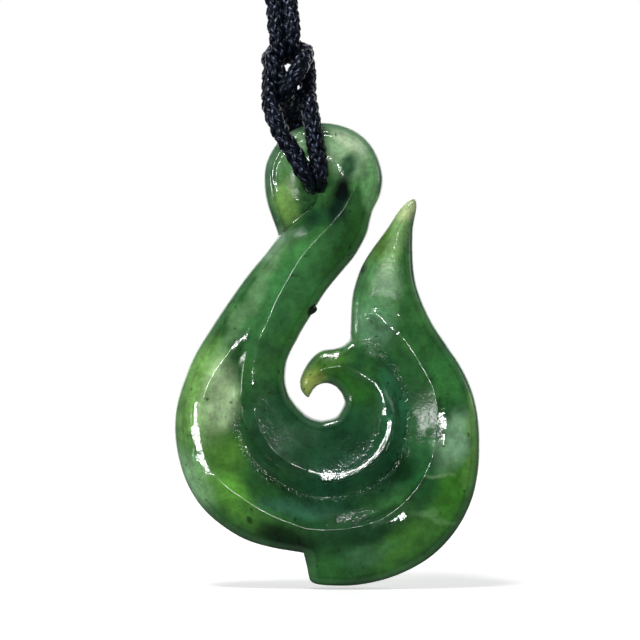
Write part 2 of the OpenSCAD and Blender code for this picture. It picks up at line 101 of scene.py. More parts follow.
# The knot: down the left side, round its own leg, behind the head, through the bore, up the
# front, over the top, down the front again, back through the bore and out on the right
KNOT_ROUTE = [
    (-0.72, 0.0, -116.9), (-0.55, -0.7, -119.0), (-0.4, -1.1, -120.5), (-0.1, -1.1, -122.1),
    (0.0, -0.2, -123.0), (-0.4, 1.5, -123.3), (-1.0, 2.2, -123.3), (-1.2, 1.2, -123.2),
    (-1.1, 0.0, -123.2), (-0.8, -1.1, -123.6), (-0.4, -1.4, -124.7), (0.1, -1.2, -125.5),
    (0.8, -0.9, -126.5), (1.3, 0.6, -127.7), (1.6, 2.6, -129.0), (1.8, 3.6, -130.0),
    (2.4, 3.8, -132.0), (3.5, 3.8, -134.1), (4.3, 3.4, -135.7), (4.42, 2.6, -136.5),
    (4.4, 1.0, -136.5), (4.35, -1.0, -136.55), (4.25, -2.9, -136.5), (4.2, -3.8, -135.8),
    (4.0, -3.9, -134.1), (3.7, -3.9, -132.5), (3.4, -3.6, -130.4), (3.1, -2.6, -128.5),
    (2.9, -1.2, -127.2), (2.9, 0.2, -125.5), (2.8, 0.8, -124.0), (2.4, 0.8, -122.8),
    (1.9, 0.8, -122.1), (0.8, 0.8, -121.7), (-0.2, 0.8, -122.0), (-0.8, 0.8, -122.7),
    (-0.9, 0.7, -123.8), (-1.1, 0.3, -125.1), (-1.1, -0.8, -126.4), (-1.1, -1.9, -127.5),
    (-1.0, -2.9, -128.7), (-0.5, -3.7, -130.2), (0.3, -3.9, -131.9), (1.5, -3.9, -133.7),
    (2.6, -4.0, -135.8), (3.45, -3.15, -136.6), (3.35, -1.0, -136.55), (3.2, 1.0, -136.5),
    (3.1, 2.6, -136.4), (2.7, 3.5, -135.4), (1.9, 3.8, -133.6), (1.1, 3.7, -131.4),
    (0.8, 2.9, -129.6), (0.6, 1.2, -128.3), (0.5, -1.2, -127.5), (0.8, -2.7, -126.4),
    (1.4, -2.9, -125.5), (2.0, -2.7, -124.5), (2.4, -1.7, -123.6), (2.6, -0.2, -122.8),
    (2.5, 1.5, -122.3), (2.0, 2.2, -122.5), (1.4, 1.4, -122.8), (1.2, -0.2, -122.5),
    (1.1, -1.1, -121.6), (1.2, -1.2, -120.5), (1.1, -0.8, -119.0), (0.9, 0.0, -116.9),
]


def even_curve(points, step):
    """Points step apart on a smooth curve through the given ones."""
    p = numpy.array(points, float)
    p = numpy.vstack([2 * p[0] - p[1], p, 2 * p[-1] - p[-2]])
    fine = []
    for a, b, c, d in zip(p[:-3], p[1:-2], p[2:-1], p[3:]):
        gaps = [max(numpy.linalg.norm(v), 1e-6) ** 0.5 for v in (b - a, c - b, d - c)]
        slope_b = ((b - a) / gaps[0] - (c - a) / (gaps[0] + gaps[1]) + (c - b) / gaps[1]) * gaps[1]
        slope_c = ((c - b) / gaps[1] - (d - b) / (gaps[1] + gaps[2]) + (d - c) / gaps[2]) * gaps[1]
        for t in numpy.linspace(0, 1, 24, endpoint=False):
            fine.append(
                (2 * t**3 - 3 * t**2 + 1) * b
                + (t**3 - 2 * t**2 + t) * slope_b
                + (3 * t**2 - 2 * t**3) * c
                + (t**3 - t**2) * slope_c
            )
    fine = numpy.array(fine + [p[-2]])
    run = numpy.concatenate([[0], numpy.cumsum(numpy.linalg.norm(numpy.diff(fine, axis=0), axis=1))])
    at = numpy.linspace(0, run[-1], int(run[-1] / step) + 1)
    return numpy.column_stack([numpy.interp(at, run, fine[:, axis]) for axis in range(3)]), at


def unit(v):
    """A vector, or each of a list of them, made one long."""
    return v / numpy.maximum(numpy.linalg.norm(v, axis=-1, keepdims=True), 1e-9)


def carried_frame(line):
    """Two directions square to a line at each of its points, carried along it without twist."""
    ahead = unit(numpy.gradient(line, axis=0))
    side = numpy.zeros_like(line)
    side[0] = unit(numpy.cross(ahead[0], (0, 1, 0)))
    for n in range(1, len(line)):
        side[n] = side[n - 1] - ahead[n] * (side[n - 1] @ ahead[n])
        side[n] = unit(side[n])
    return side, numpy.cross(ahead, side)


def strand_tube(line, out, width, thickness, sides):
    """Rings of a flat strand along a line, thin in the direction out; all in millimetres."""
    ahead = unit(numpy.gradient(line, axis=0))
    across = unit(numpy.cross(ahead, out))
    turn = 2 * math.pi * numpy.arange(sides) / sides
    return (
        line[:, None]
        + across[:, None] * numpy.cos(turn)[None, :, None] * width / 2
        + out[:, None] * numpy.sin(turn)[None, :, None] * thickness / 2
    )


def tube_mesh(name, tubes, runs):
    """One mesh of closed tubes, each a list of rings; its UV map goes round a tube and along it."""
    verts, faces, uvs = [], [], []
    for rings, run in zip(tubes, runs):
        count, sides = rings.shape[:2]
        first = sum(len(v) for v in verts)
        verts.append(rings.reshape(-1, 3) / 1000)
        for r in range(count - 1):
            for k in range(sides):
                a, b = first + r * sides + k, first + r * sides + (k + 1) % sides
                faces.append((a, b, b + sides, a + sides))
                u, v, w, x = k / sides, (k + 1) / sides, run[r], run[r + 1]
                uvs.append(((u, w), (v, w), (v, x), (u, x)))
        for ring, order in ((0, range(sides - 1, -1, -1)), (count - 1, range(sides))):
            faces.append(tuple(first + ring * sides + k for k in order))
            uvs.append(tuple((k / sides, run[ring]) for k in order))
    mesh = bpy.data.meshes.new(name)
    mesh.from_pydata(numpy.vstack(verts).tolist(), [], faces)
    layer = mesh.uv_layers.new(name="along")
    for polygon, corners in zip(mesh.polygons, uvs):
        for loop, uv in zip(polygon.loop_indices, corners):
            layer.data[loop].uv = uv
        polygon.use_smooth = True
    piece = bpy.data.objects.new(name, mesh)
    bpy.context.scene.collection.objects.link(piece)
    return piece


def nearness(distance, reach, fade):
    """1 near by, falling to 0 over a width of fade that ends at reach."""
    return numpy.clip((reach - distance) / fade, 0, 1)


loop_left = [(-x, 0, z) for x, z in LOOP_ROUTE]
loop_right = [(x, 0, z) for x, z in reversed(LOOP_ROUTE)]
cord_line, cord_run = even_curve(loop_left + KNOT_ROUTE + loop_right, CORD_STEP)
cord_side, cord_top = carried_frame(cord_line)
from_bore = numpy.hypot(cord_line[:, 0] - BORE_X, cord_line[:, 2] - BORE_Z)
in_bore = nearness(from_bore, *IN_BORE)
in_stone = nearness(abs(cord_line[:, 1]), *IN_STONE)
by_stone = nearness(abs(cord_line[:, 1]), *BY_STONE)

strands = []
for k in range(STRANDS):
    way = 1 if k % 2 else -1
    turn = way * 2 * math.pi * cord_run / BRAID_LAY + 4 * math.pi / STRANDS * (k // 2)
    weave = way * numpy.cos(STRANDS * math.pi * cord_run / BRAID_LAY)
    out = cord_side * numpy.cos(turn)[:, None] + cord_top * numpy.sin(turn)[:, None]
    reach = (CORD_DIAMETER - STRAND_THICKNESS) / 2 - WEAVE_HEIGHT + WEAVE_HEIGHT * weave
    line = cord_line + out * reach[:, None]
    strands.append(strand_tube(line, out, STRAND_WIDTH, STRAND_THICKNESS, STRAND_SIDES))
strands.append(strand_tube(cord_line, cord_side, CORE_DIAMETER, CORE_DIAMETER, STRAND_SIDES))

# the two rounds are pressed narrow as they enter the bore, and to its own round inside it
narrow = PRESSED_NARROW * in_bore * by_stone * (1 - 0.5 * in_stone)
tall = PRESSED_TALL * in_bore * in_stone
allowed = BORE_ROOM / numpy.maximum(in_bore * in_stone, 1e-4)
for rings in strands:
    away = rings - cord_line[:, None]
    rings[:, :, 0] -= away[:, :, 0] * narrow[:, None]
    rings[:, :, 2] += away[:, :, 2] * tall[:, None]
    across, up = rings[:, :, 0] - BORE_X, rings[:, :, 2] - BORE_Z
    fit = numpy.minimum(1, allowed[:, None] / numpy.maximum(numpy.hypot(across, up), 1e-6))
    rings[:, :, 0] = BORE_X + across * fit
    rings[:, :, 2] = BORE_Z + up * fit
neck_cord = tube_mesh(
    "neck_cord", strands, [cord_run + FILAMENT_SHIFT * k for k in range(len(strands))]
)


def linear(code):
    """A linear colour from an sRGB hex value."""
    parts = [int(code[n : n + 2], 16) / 255 for n in (1, 3, 5)]
    return [c / 12.92 if c <= 0.04045 else ((c + 0.055) / 1.055) ** 2.4 for c in parts] + [1]


def new_material(name, **settings):
    """A material and its Principled shader with the given settings."""
    material = bpy.data.materials.new(name)
    material.use_nodes = True
    shader = material.node_tree.nodes["Principled BSDF"]
    for socket, value in settings.items():
        shader.inputs[socket.replace("_", " ")].default_value = value
    return material, shader


def add_node(material, kind, inputs=(), **settings):
    """A node with its settings; inputs pair a socket with a value or another node's output."""
    node = material.node_tree.nodes.new(kind)
    for name, value in settings.items():
        setattr(node, name, value)
    for socket, value in inputs:
        if isinstance(value, bpy.types.NodeSocket):
            material.node_tree.links.new(value, node.inputs[socket])
        else:
            node.inputs[socket].default_value = value
    return node


# The filaments' pattern: 22 round a strand, 0.09 mm wide, and 0.9 to a millimetre along it. Real
# ones are 0.02 mm wide, too fine to show.
FILAMENTS_ROUND = 22
FILAMENTS_ALONG = 0.9


def waxed_braid():
    """Waxed polyester thread: near black with a blue cast, fine filaments along each strand."""
    material, shader = new_material(
        "waxed_braid",
        Base_Color=linear("#04070f"),
        Roughness=0.33,
        Specular_IOR_Level=0.55,
        Specular_Tint=linear("#c8d8ff"),
    )
    place = add_node(material, "ShaderNodeUVMap", uv_map="along")
    stretched = add_node(
        material,
        "ShaderNodeMapping",
        [("Vector", place.outputs[0]), ("Scale", (FILAMENTS_ROUND, FILAMENTS_ALONG, 1))],
    )
    fibres = add_node(
        material,
        "ShaderNodeTexNoise",
        [("Vector", stretched.outputs[0]), ("Scale", 1), ("Detail", 2), ("Roughness", 0.6)],
    )
    bump = add_node(
        material,
        "ShaderNodeBump",
        [("Height", fibres.outputs["Fac"]), ("Strength", 0.6), ("Distance", 0.00004)],
    )
    material.node_tree.links.new(bump.outputs[0], shader.inputs["Normal"])
    return material


neck_cord.data.materials.append(waxed_braid())
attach(neck_cord, "cord")
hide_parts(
    "neck_cord_left", "neck_cord_right", "hitch_knot", "leg_cord_left", "leg_cord_right"
)


# Stone. One piece of nephrite, sawn from a slab, bored, carved on its front with small burrs and
# polished by hand. It hangs loose on the two rounds of cord through its bore.

# Soft-edged zones of colour: middle x and z in millimetres, half length, half width, the turn
# of the long way from level in degrees, the colour and how strong it is
COLOUR_ZONES = [
    # big fields
    (2.5, -163.5, 9.5, 8.0, 0, "#1a4c2e", 0.9),
    (9.0, -168.0, 12.0, 3.6, 25, "#22593f", 0.7),
    (-1.0, -171.5, 9.0, 3.6, -32, "#2c5f2a", 0.6),
    (6.0, -174.6, 10.0, 3.4, 8, "#1b4f2a", 0.8),
    (13.5, -160.5, 3.5, 10.0, 12, "#2e6e38", 0.6),
    (11.8, -160.5, 1.6, 5.0, 5, "#3a7c5c", 0.6),
    (2.1, -171.8, 5.5, 1.1, -8, "#3c7358", 0.7),
    (1.6, -163.8, 2.6, 1.8, 0, "#477252", 0.55),
    (7.2, -164.0, 2.2, 1.8, 0, "#0c3a1c", 0.5),
    # left belly and foot
    (-8.8, -158.8, 2.6, 6.5, -10, "#92cc6c", 0.8),
    (-6.6, -160.0, 2.0, 4.8, -6, "#dcffc4", 0.9),
    (-5.8, -165.5, 2.0, 4.0, 25, "#5f9a3c", 0.8),
    (-9.4, -168.4, 3.8, 2.4, -50, "#aee6a8", 0.85),
    (-5.0, -170.6, 5.4, 1.8, -42, "#72bc48", 0.85),
    (-0.4, -173.4, 4.5, 1.2, -25, "#43803c", 0.6),
    (0.6, -174.9, 3.8, 1.2, -17, "#02280c", 0.9),
    (4.6, -178.0, 3.0, 2.0, 0, "#408842", 0.8),
    (-3.0, -173.2, 0.5, 0.5, 0, "#08200c", 0.8),
    # lower right belly
    (18.4, -169.6, 1.8, 4.2, -22, "#48942a", 0.85),
    (15.6, -169.4, 2.0, 2.6, -20, "#1d5e2c", 0.85),
    (12.9, -167.5, 2.6, 1.5, 45, "#083512", 0.85),
    (18.6, -164.0, 3.6, 1.8, 70, "#9cd0a0", 0.85),
    (13.4, -175.0, 5.0, 1.9, 32, "#54983c", 0.8),
    (9.4, -176.2, 3.2, 1.2, 15, "#5a9a66", 0.6),
    (20.4, -162.5, 0.9, 7.5, -2, "#72ab50", 0.7),
    (17.7, -157.6, 1.8, 3.4, 20, "#469048", 0.8),
    (17.2, -168.0, 1.7, 0.35, 8, "#a4cc98", 0.35),
    (16.4, -172.4, 2.4, 0.4, -14, "#93c88c", 0.3),
    # point
    (10.5, -146.5, 2.6, 6.0, 0, "#60a05e", 0.9),
    (12.2, -142.5, 1.6, 4.5, -18, "#94c27a", 0.85),
    (13.6, -139.2, 1.6, 2.1, -30, "#dcecac", 0.95),
    (11.0, -141.8, 1.2, 3.8, -32, "#4f7a02", 1.0),
    (10.0, -152.0, 2.2, 3.0, 10, "#6ea278", 0.8),
    (8.55, -145.8, 0.5, 0.9, -20, "#0c180e", 0.9),
    # barb
    (4.6, -156.0, 3.2, 1.7, 40, "#4f8432", 0.85),
    (2.9, -158.6, 1.5, 2.2, 0, "#c4d86c", 0.9),
    (7.4, -158.4, 3.2, 1.4, -35, "#2e7022", 0.85),
    # shank
    (1.2, -148.0, 8.5, 2.8, 52, "#4a9050", 0.75),
    (-2.9, -149.0, 8.5, 1.0, 56, "#76a270", 0.65),
    (2.8, -151.5, 7.0, 1.5, 64, "#3c8a34", 0.8),
    (7.0, -143.4, 5.5, 1.6, 60, "#265f20", 0.8),
    (-0.9, -143.5, 2.2, 1.3, 50, "#9bb89b", 0.6),
    (4.2, -139.8, 2.8, 1.2, 45, "#1c5438", 0.45),
    # head
    (7.3, -133.2, 3.5, 2.6, -40, "#a6cf9e", 0.9),
    (7.5, -132.4, 2.8, 0.8, -40, "#dcf2cc", 0.7),
    (10.0, -136.8, 1.1, 3.6, 5, "#86c680", 0.85),
    (0.7, -134.6, 2.0, 4.2, 0, "#84be80", 0.85),
    (0.7, -137.0, 1.4, 2.3, 8, "#4a8434", 0.8),
    (0.5, -138.9, 1.4, 2.7, -5, "#92c666", 0.8),
    (1.7, -131.8, 1.2, 1.7, 0, "#a6cf9e", 0.8),
    (7.4, -135.0, 1.3, 0.9, 50, "#0c4a2a", 0.85),
    (6.8, -137.3, 1.2, 1.6, -20, "#020908", 1.0),
    (6.1, -139.2, 1.0, 1.9, -25, "#08231d", 0.9),
]
# The shares of its half sizes up to which a zone's colour is full, and at which it is gone
ZONE_CORE = 0.35
ZONE_EDGE = 1.35
# How far inside the outline the thin line of painted shade runs, in millimetres
RIM_SHADE_LINE = 1.0
# A hard dark speck that the polishing left proud of the shank's inner edge: its middle in
# millimetres, how far it stands out and its radius
PROUD_SPECK = (3.5, -1.2, -150.4)
SPECK_PROUD = 0.45
SPECK_RADIUS = 0.6
# Sizes of the patterns in millimetres: soft clouds and how far the zones' edges wander with
# them, felted grain, dark specks, the waves of a hand polish and the burr's marks
CLOUD = 5
WANDER = 3.4
GRAIN = 1.6
SPECK = 0.7
WAVE = 1.1
BURR = 0.35


def mottled_green(material, place):
    """Clouds from dark to middle green with the zones of colour over them."""
    cloud = add_node(
        material,
        "ShaderNodeTexNoise",
        [("Vector", place), ("Scale", 1000 / CLOUD), ("Detail", 5), ("Roughness", 0.65)],
    )
    body = add_node(material, "ShaderNodeValToRGB", [("Fac", cloud.outputs["Fac"])])
    body.color_ramp.elements[0].position = 0.35
    body.color_ramp.elements[0].color = linear("#20552c")
    body.color_ramp.elements[1].position = 0.68
    body.color_ramp.elements[1].color = linear("#4c8a45")
    colour = body.outputs[0]
    # the zones' edges wander by about a millimetre
    drift = add_node(
        material, "ShaderNodeTexNoise", [("Vector", place), ("Scale", 1000 / CLOUD), ("Detail", 3)]
    )
    away = add_node(
        material,
        "ShaderNodeVectorMath",
        [(0, drift.outputs["Color"]), (1, (0.5, 0.5, 0.5))],
        operation="SUBTRACT",
    )
    moved = add_node(
        material,
        "ShaderNodeVectorMath",
        [(0, away.outputs[0]), (1, [WANDER / 1000] * 3), (2, place)],
        operation="MULTIPLY_ADD",
    )
    for x, z, long, wide, turn, code, strength in COLOUR_ZONES:
        zone = add_node(
            material,
            "ShaderNodeMapping",
            [
                ("Vector", moved.outputs[0]),
                ("Location", (x / 1000, 0, z / 1000)),
                ("Rotation", (0, -math.radians(turn), 0)),
                ("Scale", (long / 1000, 1, wide / 1000)),
            ],
            vector_type="TEXTURE",
        )
        off = add_node(material, "ShaderNodeVectorMath", [(0, zone.outputs[0])], operation="LENGTH")
        amount = add_node(
            material,
            "ShaderNodeMapRange",
            [
                ("Value", off.outputs["Value"]),
                ("From Min", ZONE_CORE),
                ("From Max", ZONE_EDGE),
                ("To Min", strength),
                ("To Max", 0),
            ],
            interpolation_type="SMOOTHSTEP",
        )
        layer = add_node(
            material,
            "ShaderNodeMix",
            [(0, amount.outputs[0]), (6, colour), (7, linear(code))],
            data_type="RGBA",
        )
        colour = layer.outputs[2]
    return colour


def grain_and_specks(material, place, colour):
    """The colour with felted grain, dark specks and painted shade on the step beside the crests."""
    grain = add_node(
        material,
        "ShaderNodeTexNoise",
        [("Vector", place), ("Scale", 1000 / GRAIN), ("Detail", 5), ("Roughness", 0.74)],
    )
    share = add_node(
        material,
        "ShaderNodeMapRange",
        [
            ("Value", grain.outputs["Fac"]),
            ("From Min", 0.37),
            ("From Max", 0.63),
            ("To Min", 0.72),
            ("To Max", 1.3),
        ],
    )
    felted = add_node(
        material, "ShaderNodeVectorMath", [(0, colour), ("Scale", share.outputs[0])], operation="SCALE"
    )
    speck = add_node(
        material,
        "ShaderNodeTexNoise",
        [("Vector", place), ("Scale", 1000 / SPECK), ("Detail", 1), ("Roughness", 0.5)],
    )
    # only the noise's peaks show, as specks a third of a millimetre across
    clear = add_node(
        material,
        "ShaderNodeMapRange",
        [
            ("Value", speck.outputs["Fac"]),
            ("From Min", 0.71),
            ("From Max", 0.77),
            ("To Min", 1),
            ("To Max", 0.4),
        ],
    )
    # painted shade: the step beside a crest is darkened in the colour, as if it lay in its own shade
    step = add_node(material, "ShaderNodeAttribute", attribute_name="step").outputs["Fac"]
    step_shade = add_node(
        material, "ShaderNodeMapRange", [("Value", step), ("To Min", 1), ("To Max", 0.45)]
    )
    both = add_node(
        material, "ShaderNodeMath", [(0, clear.outputs[0]), (1, step_shade.outputs[0])], operation="MULTIPLY"
    )
    specked = add_node(
        material,
        "ShaderNodeVectorMath",
        [(0, felted.outputs[0]), ("Scale", both.outputs[0])],
        operation="SCALE",
    )
    return specked.outputs[0]


def painted_rim_sheen_and_shade(material, place, colour):
    """The colour with painted sheen, a paler grey band along the rim, and a thin line of painted shade
    where the face starts.
    """
    from_rim = add_node(material, "ShaderNodeAttribute", attribute_name="from_rim").outputs["Fac"]
    # painted sheen: a paler grey band along the rim's slope, in place of the lamps' soft reflection
    # there
    band = add_node(
        material,
        "ShaderNodeMapRange",
        [("Value", from_rim), ("From Min", 0.55), ("From Max", 0.95), ("To Min", 0.24), ("To Max", 0)],
    )
    # the painted sheen is palest round the head
    level = add_node(material, "ShaderNodeSeparateXYZ", [(0, place)])
    on_head = add_node(
        material,
        "ShaderNodeMapRange",
        [
            ("Value", level.outputs[2]),
            ("From Min", -0.139),
            ("From Max", -0.135),
            ("To Min", 1),
            ("To Max", 2.6),
        ],
    )
    amount = add_node(
        material, "ShaderNodeMath", [(0, band.outputs[0]), (1, on_head.outputs[0])], operation="MULTIPLY"
    )
    sheen_banded = add_node(
        material,
        "ShaderNodeMix",
        [(0, amount.outputs[0]), (6, colour), (7, linear("#719478"))],
        data_type="RGBA",
    )
    # painted shade: a thin dark line where the rim meets the carved face
    past = add_node(material, "ShaderNodeMath", [(0, from_rim), (1, RIM_SHADE_LINE)], operation="SUBTRACT")
    near = add_node(material, "ShaderNodeMath", [(0, past.outputs[0])], operation="ABSOLUTE")
    line = add_node(
        material,
        "ShaderNodeMapRange",
        [
            ("Value", near.outputs[0]),
            ("From Min", 0.03),
            ("From Max", 0.2),
            ("To Min", 0.82),
            ("To Max", 1),
        ],
    )
    shade_lined = add_node(
        material,
        "ShaderNodeVectorMath",
        [(0, sheen_banded.outputs[2]), ("Scale", line.outputs[0])],
        operation="SCALE",
    )
    return shade_lined.outputs[0]


def dark_speck(material, place, colour):
    """The colour with the proud speck nearly black."""
    off = add_node(
        material,
        "ShaderNodeVectorMath",
        [(0, place), (1, [mm / 1000 for mm in PROUD_SPECK])],
        operation="DISTANCE",
    )
    amount = add_node(
        material,
        "ShaderNodeMapRange",
        [
            ("Value", off.outputs["Value"]),
            ("From Min", 0.0007),
            ("From Max", 0.0009),
            ("To Min", 0.95),
            ("To Max", 0),
        ],
    )
    spotted = add_node(
        material,
        "ShaderNodeMix",
        [(0, amount.outputs[0]), (6, colour), (7, linear("#061008"))],
        data_type="RGBA",
    )
    return spotted.outputs[2]


def hand_polish(material, place):
    """The faint waves that a hand polish leaves, and the burr's marks in the deep groove."""
    waves = add_node(
        material,
        "ShaderNodeTexNoise",
        [("Vector", place), ("Scale", 1000 / WAVE), ("Detail", 4), ("Roughness", 0.68)],
    )
    polish = add_node(
        material,
        "ShaderNodeBump",
        [("Height", waves.outputs["Fac"]), ("Strength", 1), ("Distance", 0.00006)],
    )
    burr = add_node(
        material,
        "ShaderNodeTexNoise",
        [("Vector", place), ("Scale", 1000 / BURR), ("Detail", 2), ("Roughness", 0.5)],
    )
    tooled = add_node(material, "ShaderNodeAttribute", attribute_name="tooled")
    marks = add_node(
        material,
        "ShaderNodeBump",
        [
            ("Height", burr.outputs["Fac"]),
            ("Strength", tooled.outputs["Fac"]),
            ("Distance", 0.00035),
            ("Normal", polish.outputs[0]),
        ],
    )
    return marks.outputs[0]


def polished_nephrite():
    """Nephrite: felted green crystals, mottled light and dark, that let light a little way in."""
    material, shader = new_material(
        "polished_nephrite",
        IOR=1.61,
        Subsurface_Weight=0.3,
        Subsurface_Radius=(0.5, 1.0, 0.45),
        Subsurface_Scale=0.0016,
    )
    link = material.node_tree.links.new
    place = add_node(material, "ShaderNodeTexCoord").outputs["Object"]
    colour = grain_and_specks(material, place, mottled_green(material, place))
    colour = dark_speck(material, place, painted_rim_sheen_and_shade(material, place, colour))
    link(colour, shader.inputs["Base Color"])
    # a high polish, rubbed dull in places
    worn = add_node(material, "ShaderNodeAttribute", attribute_name="worn").outputs["Fac"]
    dull = add_node(
        material, "ShaderNodeMapRange", [("Value", worn), ("To Min", 0.14), ("To Max", 0.42)]
    )
    link(dull.outputs[0], shader.inputs["Roughness"])
    link(hand_polish(material, place), shader.inputs["Normal"])
    return material


# The stone's shape. Places on the face are given as x and z, sizes in millimetres.

# The shank's right side stands a little fuller than in the plain solid: the line it swells
# along, the push in x and z, how far it reaches, and the x at z 0 and slope of the gap's middle
FULLER = [(8.6, -142.0), (3.4, -149.4)]
FULLER_PUSH = (0.39, -0.27)
FULLER_REACH = 3.5
GAP_MIDDLE = (98.8, 0.625)
# The head's face is a low dome, sunk to a cone round the bore: the dome's height near the rim,
# its rise, where and over what width it rises and how blunt it is, and the cone's height at
# the bore and its slope
DOME_LOW = 1.65
DOME_RISE = 0.75
DOME_START = 1
DOME_WIDE = 3
DOME_BLUNT = 0.7
CONE_LOW = 1.78
CONE_SLOPE = 0.6
BORE_RADIUS = 1.3
# How far the head reaches from the bore's axis, the height of its lower end and over what
# height it fades, and from which x and over what width that end steps up, and by how much
HEAD_REACH = 8
HEAD_END = -138.6
HEAD_FADE = 1.4
STEP_START = 1.8
STEP_WIDE = 2.4
STEP_UP = 2.4
# The left belly swells at least this high before it drops to the rim: line, height, half width
SHELF = [(-8.4, -168.2), (-9.25, -164.95), (-9.5, -162.4), (-9.3, -160.6)]
SHELF_HEIGHT = 2.82
SHELF_WIDE = 0.85
# Rounds that are rubbed smooth, the point and the fork: middle, radius and how often; and how
# far from the bore's axis the stone is left as it is
SMOOTHED = [(11.6, -144.0, 6.0, 6), (9.6, -153.2, 3.2, 9)]
BORE_KEPT = 1.7
# Width of the rounded rim
RIM = 1.15
# Edges inside the rim that bend less than the first angle are rounded off, and from the second
# angle on they keep this crease
SOFT_ANGLE = math.radians(5)
HARD_ANGLE = math.radians(13)
EDGE = 0.6
# Rounds in which an edge is worn softer than the others: middle, radius and its share of the
# usual sharpness
WORN = [
    (1.2, -134.6, 4.0, 0.0), (4.4, -131.2, 3.2, 0.0), (0.5, -138.6, 2.0, 0.8),
    (11.5, -143.0, 6.4, 0.0), (9.2, -151.6, 3.6, 0.0),
    (11.2, -162.4, 1.5, 0.1), (10.8, -164.1, 1.5, 0.1), (9.6, -165.8, 1.5, 0.1),
    (8.0, -167.1, 1.5, 0.1), (6.2, -167.9, 1.5, 0.2), (4.4, -168.1, 1.5, 0.4),
]
# Rounds in which the crest is cut so clean that no light gathers along it
CLEAN_CUT = [(-3.1, -159.8, 1.5), (-2.6, -162.0, 1.5), (-1.6, -164.2, 1.5)]
# Where the point leaves the belly the face folds along a low crest: its line, half width and
# rise, how blunt it is, how much blunter at its upper end and over what length, and the height
# at which it has died away and over what length
FOLD = [(10.7, -151.2), (11.7, -151.9), (12.7, -152.9), (13.65, -154.1), (14.75, -155.5)]
FOLD_WIDE = 2.4
FOLD_RISE = 0.42
FOLD_BLUNT = 0.12
FOLD_BLUNTER = 0.5
FOLD_BLUNTER_LENGTH = 1.3
FOLD_END = -156.0
FOLD_FADE = 2.5
# Places worn level beside a crest: points along the middle with half the width at each, the
# height, the width of the slope that leads down from it, and its rise to the right
LEVELS = [
    # the coil's lower right shoulder
    (
        [
            (11.6, -162.2, 0.4), (11.45, -163.5, 0.4), (10.85, -165.0, 0.4), (9.95, -166.1, 0.4),
            (8.4, -167.3, 0.35), (6.5, -168.1, 0.35), (4.6, -168.3, 0.3),
        ],
        2.94, 0.3, 0,
    ),
    # the blunt upper end of the fold at the fork
    ([(10.2, -150.8, 0.45), (11.0, -151.4, 0.4), (12.2, -152.5, 0.12)], 2.42, 0.5, 0.05),
    # the right belly
    (
        [(17.6, -161.1, 0.3), (17.65, -162.4, 0.7), (17.3, -164.2, 0.45), (16.95, -166.2, 0.15)],
        2.67, 0.3, 0.05,
    ),
    # beside the crest at the bottom
    ([(9.6, -173.9, 0.1), (11.3, -173.4, 0.3), (12.6, -173.1, 0.5), (13.7, -172.5, 0.2)], 2.7, 0.4, 0),
    # the left belly
    (
        [
            (-9.2, -161.8, 0.25), (-9.2, -163.4, 0.7), (-8.9, -165.0, 0.45), (-8.7, -166.2, 0.6),
            (-7.9, -167.9, 0.15),
        ],
        2.82, 0.4, 0,
    ),
]
# The deep groove round the coil, and half its width and its depth; the burr's marks still show
# in it, over a slightly narrower band
GROOVE = [
    (9.7, -153.8), (12.3, -156.5), (13.1, -158.9), (13.7, -161.1), (13.5, -163.4), (12.9, -165.9),
    (11.2, -168.4), (9.1, -169.7), (6.9, -170.4), (4.4, -170.8), (3.1, -170.5), (1.0, -169.7),
    (-1.7, -168.1), (-3.3, -166.5), (-4.6, -164.3), (-5.0, -160.0),
]
GROOVE_WIDE = 0.4
GROOVE_DEEP = 0.1
MARKS_WIDE = 0.34
# Crests finished with a fine flat chamfer: their lines, how far from the line the crest may lie,
# the least bend that counts as a crest, and the chamfer's half width
CHAMFERED = [
    [
        (-6.5, -168.6), (-2.6, -171.3), (2.4, -173.9), (6.0, -174.2), (10.6, -173.2),
        (13.6, -171.6), (15.5, -168.6), (16.5, -165.7),
    ],
    [(-0.9, -165.2), (1.7, -167.1), (4.6, -168.1)],
    [(-3.6, -152.8), (-6.5, -156.4), (-8.4, -159.7)],
    [(13.2, -153.5), (15.5, -156.8), (16.7, -159.7), (16.9, -162.0), (16.8, -164.3), (16.5, -165.7)],
]
CREST_REACH = 0.8
CREST_ANGLE = math.radians(9)
CHAMFER = 0.05
# Rounds that are rubbed dull: the point, the cone left of the bore and the top of the shank
DULL = [(11.5, -147.4, 3.4), (1.4, -136.9, 2.0), (2.1, -142.1, 1.3)]
# Lines along which shade is painted on the step beside a crest, and half the width of that
PAINTED_SHADE_STEPS = [
    [(16.9, -159.8), (17.1, -162.3), (16.9, -164.5), (16.4, -166.3)],
    [(15.4, -168.2), (13.8, -170.0), (12.6, -171.2), (10.4, -172.4), (8.0, -173.2)],
]
PAINTED_SHADE_WIDE = 0.3


def from_line(x, z, points):
    """Distance of each place (x, z) from a line through the points, or from a band round it."""
    best = numpy.full(len(x), 1e9)
    for (ax, az, *a_half), (bx, bz, *b_half) in zip(points[:-1], points[1:]):
        long = (bx - ax) ** 2 + (bz - az) ** 2
        t = numpy.clip(((x - ax) * (bx - ax) + (z - az) * (bz - az)) / long, 0, 1)
        off = numpy.hypot(x - ax - t * (bx - ax), z - az - t * (bz - az))
        if a_half:
            off = off - a_half[0] * (1 - t) - b_half[0] * t
        best = numpy.minimum(best, off)
    return best


def off_place(co, x, z):
    """How many millimetres a point, given in metres, lies from a place on the face."""
    return math.hypot(co.x * 1000 - x, co.z * 1000 - z)


def off_rim(outline, co):
    """How many millimetres inside the outline a point, given in metres, lies."""
    return outline.find(Vector((co.x, 0, co.z)))[2] * 1000


def points_of(mesh):
    """A mesh's points in millimetres."""
    flat = numpy.empty(len(mesh.vertices) * 3)
    mesh.vertices.foreach_get("co", flat)
    return flat.reshape(-1, 3) * 1000


